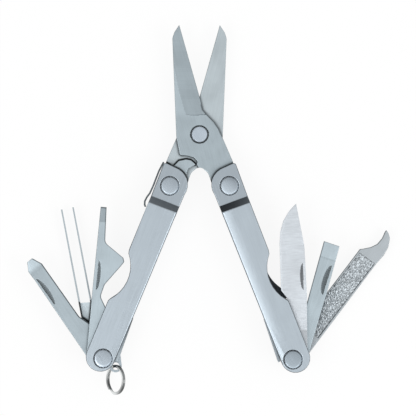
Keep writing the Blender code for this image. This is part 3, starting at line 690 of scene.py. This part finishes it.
def nail_nick(s, d, start, end, bulge):
    """Depth and painted shade of a nail nick: steep along its straight side, sloping up to its bowed side.

    The straight side runs from start to end, and bulge is the top of the bow, all in mm."""
    start, end, bulge = (np.array(point) for point in (start, end, bulge))
    chord = end - start
    length = np.linalg.norm(chord)
    unit = chord / length
    normal = np.array((-unit[1], unit[0]))
    bow = (bulge - start) @ normal
    if bow < 0:
        normal, bow = -normal, -bow
    t = ((s - start[0]) * unit[0] + (d - start[1]) * unit[1]) / length
    w = (s - start[0]) * normal[0] + (d - start[1]) * normal[1]
    reach = bow * np.sqrt(np.clip(4 * t * (1 - t), 1e-9, 1.0))
    inside = (t > 0) & (t < 1) & (w > 0) & (w < reach)
    slope = np.clip(1 - w / reach, 0, 1) ** 0.7
    taken = np.where(inside, NICK_DEPTH * slope * rise(w, 0.0, 0.30), 0.0)
    # Painted shade inside the nick, with fine hatch lines across it.
    shade_and_hatch = 0.30 + 0.04 * np.sin(2 * math.pi * t * length / NICK_HATCH)
    # Painted shade along the straight side, a painted highlight beyond it, and a fainter shaded line.
    lines = np.interp(w, (0.0, 0.12, 0.28, 0.42, 0.62), (0.3, 0.3, 1.7, 0.45, 1.0))
    return taken, np.where(inside, shade_and_hatch * lines, 1.0)


print("an eased edge takes off", EASE / MM, "mm, and a nail nick up to", NICK_DEPTH)

# %% [markdown]
# ## Lip of the right handle's rear wall
# The scallop that bares the tools is cut deeper into the front wall than into the rear one, so a
# sliver of the rear wall shows inside the right handle's scallop. It lies in the shade of the channel,
# which is painted on its top as a dark tone.
# It is a strip of sheet whose width grows along the scallop's arc and ends at the mouth.

# %% Rear wall lip
SCALLOP_MIDDLE, SCALLOP_HEIGHT, SCALLOP_RADIUS = -12.7 * MM, 24.9 * MM, 11.1 * MM
LIP_LOW, LIP_TOP = 17.5 * MM, 27.6 * MM
MOUTH = -5.1 * MM


def wall_lip():
    """Strip from arc(d) = middle + sqrt(R^2 - (d - h)^2) outwards by 0.22 u + 8.8 u^2, u = top - d."""
    d = np.linspace(LIP_LOW, LIP_TOP, 40)
    arc = SCALLOP_MIDDLE + np.sqrt(SCALLOP_RADIUS ** 2 - (d - SCALLOP_HEIGHT) ** 2)
    u = LIP_TOP - d
    outer = np.maximum(arc - 0.22 * u - 8.8 * u ** 2, MOUTH)
    outer = np.minimum(outer, arc - 0.01 * MM)
    inner = arc + 0.25 * MM
    ease = 0.08 * MM
    low, high = 0.02 * MM, 0.98 * MM
    s = np.stack((inner, outer + ease, outer, outer, outer + ease, inner), axis=1)
    z = np.broadcast_to((low, low, low + ease, high - ease, high, high), s.shape)
    plan = right_world(s, np.broadcast_to(d[:, None], s.shape))
    # Painted shade: the top is dark for the shade inside the channel.
    tone = np.where(z > (low + high) / 2, 0.10, 1.0)
    return closed_grid("right_handle_lip", np.concatenate((plan, z[..., None]), axis=-1), tone)


lip = finished("right_handle_lip", wall_lip(), "right_handle")
dress(lip, right_handle.data.materials[0])
print("lip faces", len(lip.data.polygons))

# %% [markdown]
# ## Knife blade
# A clip-point blade is ground thin from its back to its cutting edge on both faces, right across the
# blade, so its scratches run across it and not along it. A narrow bevel at the edge is whetted at a
# steeper angle and catches the light. The tang keeps the full thickness of the blank, and the grind
# ends there in a short ramp that a painted highlight makes bright.

# %% Knife
KNIFE_TURN = RIGHT_SPLAY - 19.5


def knife_shape(s, d):
    """Wedge from back to edge beyond the tang, whetted bevel along the edge, the nick, and a painted
    highlight at the grind's end.
    """
    ground = rise(d, 8.4, 9.1)
    wedge = ground * (0.06 + 0.40 * np.clip((s + 4.4) / 8.0, 0, 1))
    rim = s.max(axis=1, keepdims=True) - s
    bevel = ground * rise(d, 19.6, 20.4) * 0.03 * np.clip(1 - rim / 0.55, 0, 1)
    nick, tone = nail_nick(s, d, (-3.3, 28.75), (-3.45, 20.8), (-2.4, 25.55))
    # Painted highlight along the line where the grind ends.
    ramp_highlight = 1 + 0.25 * np.exp(-((d - 8.8) / 0.25) ** 2)
    tone = tone * ramp_highlight * (1 - 0.26 * (1 - ground))
    return np.maximum(wedge, nick) + bevel, wedge + bevel, tone


knife = blade("knife_ground", "knife_blade", "knife_blade", tool_frame(RIGHT_PIN, KNIFE_TURN, -1),
              knife_shape, 60, ease=0.07 * MM, dark=0.7)
dress(knife, steel("knife_cross_ground", (0.60, 0.64, 0.68), 0.36, 92.0, scratch=0.065,
                   pitch=0.2 * MM, length=4.0 * MM))

# %% [markdown]
# ## Flat driver, opener and cross-point driver
# These three are stamped blanks with a satin face. Their working ends are ground to a taper, and a
# line across the blade shows where the wheel started. Each has a nail nick near its back, by which
# it is pulled out of the handle. The opener's shade is painted as a dark line on the cross-point
# driver's root.

# %% Drivers and opener
TIP_DEPTH = 0.30
DRIVER_TURN, OPENER_TURN, PHILLIPS_TURN = RIGHT_SPLAY - 38.8, 16.5 - LEFT_SPLAY, 57.1 - LEFT_SPLAY
phillips_world = tool_frame(LEFT_PIN, PHILLIPS_TURN, 1)[1]


def taper(d, line, end):
    """Depth that grows evenly from a line across the tool to TIP_DEPTH at its end."""
    return TIP_DEPTH * np.clip((d - line) / (end - line), 0, 1)


def driver_shape(s, d):
    """Taper from 31.8 mm, with a dark line where it starts and a paler face beyond, and the nick."""
    tip = taper(d, 31.8, 36.5)
    nick, tone = nail_nick(s, d, (-2.15, 30.4), (-2.36, 21.2), (-0.8, 25.3))
    line = 1 - 0.12 * np.exp(-((d - 31.8) / 0.2) ** 2)
    tone = tone * line * (1 + 0.16 * rise(d, 31.8, 32.2))
    return np.maximum(tip, nick), tip, tone


def opener_shape(s, d):
    """Taper from 40.55 mm, darker beyond that line and darkest at the very end, and the nick."""
    tip = taper(d, 40.55, 45.1)
    nick, tone = nail_nick(s, d, (-3.66, 29.1), (-3.8, 20.3), (-2.7, 25.8))
    tone = tone * (1 - 0.18 * rise(d, 40.45, 40.75))
    tone = tone * (1 - 0.5 * rise(d, d.max() - 0.5, d.max() - 0.3))
    return np.maximum(tip, nick), tip, tone


def phillips_shape(s, d):
    """Cross point: the blade thins evenly near the tip and falls away a little to both sides; the opener's
    shade is painted on it.
    """
    share = np.clip((d - 32.4) / 4.3, 0, 1)
    tip = share * (0.20 + 0.10 * np.clip(np.abs(s + 0.6) / 2.0, 0, 1) ** 2)
    nick, tone = nail_nick(s, d, (-2.35, 30.9), (-2.42, 21.6), (-1.15, 26.3))
    # Painted shade beside the opener's outline, where the opener lies over this driver.
    under = beside("bottle_opener", phillips_world(s * MM, d * MM), 0.40 * MM)
    tone = tone * (0.87 + 0.35 * rise(share, 0.1, 0.5)) * (1 - 0.5 * under)
    return np.maximum(tip, nick), tip, tone


for name, node, pin, turn, hand, shape, across, step, right_edge_shade in (
        ("flat_driver_ground", "flat_driver", RIGHT_PIN, DRIVER_TURN, -1, driver_shape, 56, 0.16, 0.5),
        ("opener_ground", "bottle_opener", LEFT_PIN, OPENER_TURN, 1, opener_shape, 60, 0.12, 0.5),
        ("phillips_ground", "phillips_driver", LEFT_PIN, PHILLIPS_TURN, 1, phillips_shape, 56, 0.16, 0.3)):
    tool = blade(name, node, node, tool_frame(pin, turn, hand), shape, across, step * MM,
                 right_edge_shade=right_edge_shade)
    dress(tool, steel(name + "_satin", BLADE_GREY, 0.38, turn))

# %% [markdown]
# ## Nail file
# The file's field is covered with hard grit that is set in the plated face. Close by it is a field of
# tiny bright and dark facets, so here every point of the grid inside the field gets its own small
# random height, from a seeded generator. The hooked tip and the tang stay satin, and a shallow groove
# runs round the field.

# %% Nail file
FILE_TURN = RIGHT_SPLAY - 56.5
FIELD_LOW, FIELD_HIGH = 9.6, 37.7
GRIT = 0.20
rng = np.random.default_rng(11)


def file_shape(s, d):
    """Random facets inside the field, a groove with painted shade along its border, and a paler satin
    outside.
    """
    left_side = np.interp(d, (9.65, 37.7), (-2.55, -2.98))
    right_side = np.interp(d, (9.6, 10.6, 21.2, 22.7, 37.7), (-1.2, -0.75, 3.0, 2.9, 2.5))
    inside = np.minimum(np.minimum(s - left_side, right_side - s),
                        np.minimum(d - FIELD_LOW, FIELD_HIGH - d))
    field = inside > 0
    raw = rng.random(s.shape)
    near = [np.roll(np.roll(raw, i, axis=0), j, axis=1) for i in (0, 1) for j in (0, 1)]
    grit = np.clip(0.5 + 0.8 * (np.mean(near, axis=0) + raw - 1.0), 0, 1)
    border = np.exp(-(inside / 0.14) ** 2)
    depth = np.where(field, GRIT * (1 - grit), 0.0) + 0.06 * border
    # The groove round the field gets painted shade.
    tone = np.where(field, 0.66 + 1.33 * grit ** 1.5, 1.27) * (1 - 0.6 * border)
    return depth, np.where(field, GRIT * (1 - grit[::-1]), 0.0), tone


nail_file = blade("nail_file_grit", "nail_file", "nail_file", tool_frame(RIGHT_PIN, FILE_TURN, -1),
                  file_shape, 44, 0.15 * MM, right_edge_shade=0.6)
dress(nail_file, steel("file_grit_satin", (0.33, 0.36, 0.38), 0.42, FILE_TURN))

# %% [markdown]
# ## Scissor halves
# Each half is one stamping: blade, round body and tang. The inner flank of a blade is hollow ground
# down to the cutting edge, which leaves a long facet with a clear border on the face that is seen.
# The front half shows this facet and the rear half shows its plain face, brushed lengthwise. The
# ears lie over both tangs, and the front half and the lever lie over the rear half, so the halves
# carry painted shade as dark lines beside them. The seat of the rivet's head is cut by a boolean,
# because its wall is upright and the blade's grid has no row there.

# %% Shapes of the two halves
RIVET = middle("scissor_rivet")
LEVER_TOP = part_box("spring_lever")[1][1]
TANG = -7.6
front_frame, rear_frame = tool_frame(RIVET, 0.0, 1), tool_frame(RIVET, 0.0, -1)


def facet(s, d):
    """Hollow grind from its border to the cutting edge: a depth that grows evenly, and its place."""
    border = np.interp(d, (5.9, 7.55, 13.24, 20.01, 26.0), (-4.04, -4.73, -6.23, -7.73, -9.1))
    lower = 6.05 - 0.25 * np.cos((s + 1.5) / 2.6)
    width = np.maximum(s.max(axis=1, keepdims=True) - border, 0.5)
    share = np.clip((s - border) / width, 0, 1)
    inside = (s > border) & (d > lower)
    return np.where(inside, 0.04 + 0.30 * share, 0.0), inside


def front_shape(s, d):
    """Facet on the top face, and painted shade along the round body's edge and beside the right ear."""
    depth, inside = facet(s, d)
    cross_lines = 1 + 0.05 * (rng.random((len(d), 1)) - 0.5)
    tone = np.where(inside, 0.84 * cross_lines, 0.91 + 0.09 * rise(d, 4, 8))
    # Painted shade along the round body's edge, where it stands over the rear half.
    step_shade = rise(s - s.max(axis=1, keepdims=True), -0.45, -0.20)
    curved = rise(d, -2.0, 1.0) * (1 - rise(d, 8.6, 9.4))
    plan = front_frame[1](s * MM, d * MM)
    # Painted shade beside the right ear, where it lies over the tang.
    ear = beside("right_handle", plan, 0.48 * MM, EAR_LOW) * (d < TANG)
    tone = tone * (1 - 0.6 * step_shade * curved) * (1 - 0.92 * ear)
    return depth, np.zeros_like(s), tone


def rear_shape(s, d):
    """Facet on the underside, and painted shade beside the front half, the lever and the left ear on top.

    The lever's painted shade is strong round its tip and faint below, and the ear's is hard at its corner."""
    plan = rear_frame[1](s * MM, d * MM)
    below = d < 0
    # Painted shade beside the front half, the lever and the left ear, which lie over this half.
    shade_marks = beside("scissor_half_front", plan, 0.42 * MM) * np.where(below, 0.85, 0.60)
    gap = beside("spring_lever", plan, 0.60 * MM)
    tip = rise(plan[..., 1], LEVER_TOP - 2.3 * MM, LEVER_TOP - 1.6 * MM)
    gap = 0.45 * gap * (1 - tip) + 0.97 * tip * rise(gap, 0.2, 0.65)
    shade_marks = np.maximum(shade_marks, gap * below)
    ear = beside("left_handle", plan, 0.55 * MM, EAR_LOW)
    corner = 1 - rise(plan[..., 0], -12.2 * MM, -10.8 * MM)
    ear = 0.92 * ear * (1 - corner) + 0.97 * corner * rise(ear, 0.15, 0.60)
    shade_marks = np.maximum(shade_marks, ear * (d < TANG))
    return np.zeros_like(s), facet(s, d)[0], 1 - shade_marks


# %% Scissors
SEAT_RADIUS, SEAT_DEPTH = 2.75 * MM, 0.6 * MM


def cut_seat(piece, centre, radius, low, high):
    """Cuts a round seat into a piece with an exact boolean, and paints shade near its floor."""
    work = bmesh.new()
    bmesh.ops.create_cone(work, cap_ends=True, segments=72, radius1=radius, radius2=radius,
                          depth=high - low)
    bmesh.ops.translate(work, verts=work.verts, vec=(centre[0], centre[1], (low + high) / 2))
    cutter = placed("cutter", bpy.data.meshes.new("cutter"))
    work.to_mesh(cutter.data)
    work.free()
    cut = piece.modifiers.new("seat", "BOOLEAN")
    cut.operation = "DIFFERENCE"
    cut.solver = "EXACT"
    cut.object = cutter
    mesh = applied(piece)
    piece.modifiers.remove(cut)
    mesh.set_sharp_from_angle(angle=math.radians(20.0))
    points = gather(mesh.vertices, "co", 3)
    away = np.hypot(points[:, 0] - centre[0], points[:, 1] - centre[1])
    # Painted shade near the seat's floor.
    in_seat = (away < radius + 0.01 * MM) & (points[:, 2] < low + 0.3 * MM)
    tone = mesh.attributes["tone"].data
    tone.foreach_set("value", np.where(in_seat, 0.12, gather(tone, "value")).astype(np.float32))
    piece.data = mesh
    bpy.data.objects.remove(cutter)


front_half = blade("scissor_front_ground", "scissor_half_front", "scissor_front", front_frame,
                   front_shape, 46, 0.14 * MM)
rear_half = blade("scissor_rear_ground", "scissor_half_rear", "scissor_rear", rear_frame,
                  rear_shape, 40)
front_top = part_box("scissor_half_front")[1][2]
cut_seat(front_half, RIVET, SEAT_RADIUS, front_top - SEAT_DEPTH, front_top + 1 * MM)
dress(front_half, steel("scissor_front_satin", BLADE_GREY, 0.36, 16.0))
dress(rear_half, steel("scissor_rear_satin", (0.47, 0.53, 0.56), 0.36, -14.0))

# %% [markdown]
# ## Pins and rivet
# The pins that the handles and tools turn on are turned parts: a flat polished head, and a fine
# knurl round its rim, by which the pin is held while it is pressed together. The knurl fills the
# head's seat. The rivet's rim is plain. A turned part is a profile of radius and height carried
# round an axis, and the knurl is a small wave in the radius.

# %% Pins
AROUND = 288
KNURL = 0.16 * MM
SPIGOT = 0.8 * MM


def turned_pin(name, node, body, radius, shank, teeth, colour, head_shade):
    """Headed post: radius(angle, row) = profile radius less a tooth wave on the rim rows.

    The last argument is how much painted shade darkens the flat head towards one side. No teeth give a
    plain rim."""
    centre = middle(node)
    low, high = (corner[2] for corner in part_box(node))
    head_low = high - 0.5 * MM
    shoulder = low + 0.6 * MM
    flat = radius - (0.24 if teeth else 0.16) * MM
    outer = radius + (KNURL if teeth else 0.0)
    radii = np.array((0, 0.6 * radius, flat - 0.20 * MM, flat, flat + 0.06 * MM, flat + 0.07 * MM,
                      outer - 0.02 * MM, outer, outer, shank, shank, SPIGOT, SPIGOT, 0))
    heights = high - np.array((0, 0.01, 0.02, 0.05, 0.12, 0.14, 0.14, 0.20)) * MM
    heights = np.concatenate((heights, (head_low, head_low, shoulder, shoulder, low, low)))
    on_rim = np.zeros(len(radii))
    on_rim[6:9] = 1
    angle = np.linspace(0, 2 * math.pi, AROUND, endpoint=False)
    wave = 0.15 * MM * (1 + np.cos(teeth * angle)) if teeth else 0 * angle
    r = radii[:, None] - on_rim[:, None] * wave
    z = np.repeat(heights[:, None], AROUND, axis=1)
    rows = np.stack((centre[0] + r * np.cos(angle), centre[1] + r * np.sin(angle), z), axis=-1)
    tone = np.ones(z.shape)
    # Painted shade across the flat head, darker towards one side.
    tone[1] = 1 - 0.6 * head_shade * np.sin(angle + 0.5)
    tone[2] = 1 - head_shade * np.sin(angle + 0.5)
    if teeth:
        # Painted highlight on the head's near edge; painted light and shade on the knurl's teeth and
        # valleys.
        lit = lit_side(angle)
        near_side_highlight = rise(-np.sin(angle), 0.1, 0.9)
        tone[3] = 1 + 0.9 * near_side_highlight
        tone[4:6] = 0.45 + 0.5 * lit + 0.6 * near_side_highlight
        tone[6:9] = 1.05 - (1.0 - 0.9 * lit) * (wave > 0.13 * MM)
    else:
        # Painted shade in the plain rim's groove.
        tone[4:6] = 0.35
        tone[6:9] = 0.8
    piece = finished(name, closed_grid(name, rows, tone), body, node, smooth=20.0)
    dress(piece, steel(name + "_polish", colour, 0.24, 30.0, scratch=0.015))


PIN_BLUE = (0.43, 0.49, 0.545)
for node, body, colour, head_shade in (("left_upper_pin", "left_handle", PIN_BLUE, 0.12),
                                  ("left_lower_pin", "left_handle", PIN_BLUE, 0.12),
                                  ("right_upper_pin", "right_handle", PIN_BLUE, 0.34),
                                  ("right_lower_pin", "right_handle", (0.37, 0.43, 0.48), 0.12)):
    turned_pin(node + "_knurled", node, body, 2.65 * MM, 1.5 * MM, 36, colour, head_shade)
turned_pin("scissor_rivet_polished", "scissor_rivet", "scissor_front", 2.4 * MM, 1.4 * MM, 0,
           (0.50, 0.57, 0.64), 0.0)
print("sides round a pin", AROUND)

# %% [markdown]
# ## Springs, lever and tweezers
# The leaf that opens the scissors, the lever that it pushes, and the two back springs are strips of
# hardened sheet. The tweezers are one sheet bent to a narrow channel, with two long tines that are
# seen edge-on. All of them are eased copies. The left ear lies over the lever, and two tools lie over
# the tweezers' web, so these carry painted shade as dark lines too, on faces that are split into
# small squares. The tweezers' low web also gets painted light, and its channel's edges painted shade.

# %% Painted shade of the small pieces
TWEEZERS_TURN = 31.9 - LEFT_SPLAY
WEB_END, WEB_TOP = 18.0 * MM, 2.4 * MM
tweezers_local = tool_frame(LEFT_PIN, TWEEZERS_TURN, 1)[0]


def squares(x_places, y_places):
    """Upright planes across x and then across y, at which a flat face is split."""
    return [((x, 0, 0), (1, 0, 0)) for x in x_places] + [((0, y, 0), (0, 1, 0)) for y in y_places]


def lever_shade(normals, points):
    """Painted shade of a sheet, and a dark line of painted shade where the left handle's ear lies over the
    lever.
    """
    ear_shade_line = beside("left_handle", points[:, :2], 0.50 * MM, EAR_LOW)
    return sheet_shade(normals, points) * (1 - 0.95 * rise(ear_shade_line, 0.2, 0.75))


def spring_shade(normals, points):
    """Painted shade of a sheet, and dark painted shade in the narrow gap between the leaf and the handle's
    edge.
    """
    s, d = left_local(points)
    inner = (s < spine_side(d) + 0.45 * MM) & (d > 1 * MM)
    return sheet_shade(normals, points) * np.where(inner, 0.18, 1.0)


def tweezers_shade(normals, points):
    """Sheet shade; painted light on the low web, painted shade where it is covered, on the channel's edges
    and tine.
    """
    s, d = tweezers_local(points)
    plan = points[:, :2]
    # Painted shade where the opener and the cross-point driver lie over the web.
    over = np.maximum(beside("bottle_opener", plan, 0.75 * MM),
                      beside("phillips_driver", plan, 0.45 * MM, under=0.4 * MM))
    over = rise(over, 0.15, 0.65) * rise(d, 9.8 * MM, 10.6 * MM)
    right_tine = s > (s.min() + s.max()) / 2
    # Painted shade on the right tine, darkest near the web.
    tine_shade = np.where(right_tine, 0.42 + 0.38 * rise(d, WEB_END, 2 * WEB_END), 0.80)
    # Painted shade on the channel's top edges beside the web.
    wall = np.where(d < WEB_END - 0.2 * MM, 0.10, tine_shade)
    # Painted light brightens the low web deep in the channel.
    web = 1.25 * (1 - 0.95 * over)
    return sheet_shade(normals, points) * np.where(points[:, 2] < WEB_TOP, web, wall)


# %% Eased small pieces
lever_low, lever_high = (np.array(corner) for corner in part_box("spring_lever"))
lever_squares = squares(*(np.arange(lever_low[axis], lever_high[axis], 0.35 * MM) for axis in (0, 1)))
web_squares = squares(LEFT_PIN[0] + np.arange(-7.5, -1.5, 0.3) * MM,
                      LEFT_PIN[1] + np.arange(9.0, 18.6, 0.3) * MM)
for node, body, width, tone, fine, colour, slot in (
        ("spring_lever", "lever", 0.15, lever_shade, lever_squares, (0.43, 0.50, 0.54), "tool_steel"),
        ("scissor_spring", "left_handle", 0.10, sheet_shade, (), (0.13, 0.15, 0.16), "spring_steel"),
        ("left_back_spring", "left_handle", 0.14, spring_shade, (), (0.40, 0.46, 0.50), "spring_steel"),
        ("right_back_spring", "right_handle", 0.14, sheet_shade, (), DARK_GREY, "spring_steel"),
        ("tweezers", "tweezers", 0.10, tweezers_shade, web_squares, (0.52, 0.59, 0.63), "tool_steel")):
    piece = eased(node + "_eased", node, body, width * MM, tone=tone, fine=fine)
    dress(piece, steel(piece.name + "_finish", colour, 0.30, 10.0))
    print(piece.name, "faces", len(piece.data.polygons))

# %% [markdown]
# ## Spacers, washers and rear caps
# These plain turned rings sit between the tools and behind the handles, where hardly any light
# reaches them. Their imported shapes stay, and they get the same steel in a darker grey as painted
# shade.

# %% Kept pieces
plain = [node for node in frame["nodes"]
         if any(word in node for word in ("spacer", "washer", "bushing")) or node.endswith("_cap")]
for node in plain:
    materials = frame["nodes"][node].data.materials
    materials.clear()
    # The darker grey is painted shade.
    materials.append(steel(node + "_plain", DARK_GREY, 0.35, 0.0, toned=False))
print("kept pieces", len(plain))

# %% [markdown]
# ## Key ring
# A split ring is a flat wire wound almost twice round. Each turn lies in its own plane, and one short
# jog leads from the first to the second; both ends of the wire stop at that jog. The wire's rounded
# section is carried along this path, and the whole ring hangs from the tab on a slant.

# %% Key ring
RING_RADIUS = 4.1 * MM
RING_HANG = 4.06 * MM
RING_TILT = math.radians(53.0)
RING_WIND = 676.0
JOG = (226.0, 266.0)
TURN_GAP = 0.24 * MM
WIRE_WIDE, WIRE_THICK = 0.8 * MM, 0.45 * MM
HOLE = (*left_world(4.32 * MM, -1.13 * MM), 5.75 * MM)


def squared(wave, width):
    """Half a width times sign(wave) |wave|^0.55, which bulges a circle towards a square."""
    return np.sign(wave) * np.abs(wave) ** 0.55 * width / 2


def ring_mesh():
    """Section point = radius and axial offset of a superellipse; path = circle with one jog."""
    turned = np.linspace(0.0, 1.0, 241) * RING_WIND - 90.0
    angle = np.radians(turned)
    axial = TURN_GAP * (2 * rise(turned, *JOG) - 1)
    around = np.linspace(0, 2 * math.pi, 20, endpoint=False)
    shrink = np.ones((len(angle), 1))
    shrink[[0, -1]] = 0.75
    r = RING_RADIUS + shrink * squared(np.cos(around), WIRE_WIDE)
    x = r * np.cos(angle)[:, None]
    y = r * np.sin(angle)[:, None] - RING_HANG
    z = axial[:, None] + shrink * squared(np.sin(around), WIRE_THICK)
    rows = np.stack((HOLE[0] + x * math.cos(RING_TILT) - z * math.sin(RING_TILT), HOLE[1] + y,
                     HOLE[2] + x * math.sin(RING_TILT) + z * math.cos(RING_TILT)), axis=-1)
    # Painted shade on the wire's inner and outer edges, and painted glints that come and go round the
    # ring.
    band = 1.05 - 0.60 * (np.abs(np.cos(around)) > 0.80)
    ring_glints = 0.85 + 0.35 * np.sin(3 * angle + 0.6)[:, None]
    return closed_grid("key_ring_wire", rows, np.clip(band * ring_glints, 0.15, 1.25))


key_ring = finished("key_ring_wire", ring_mesh(), "key_ring", "key_ring", smooth=50.0)
dress(key_ring, steel("ring_chrome", (0.62, 0.64, 0.64), 0.16, 0.0, scratch=0.01))
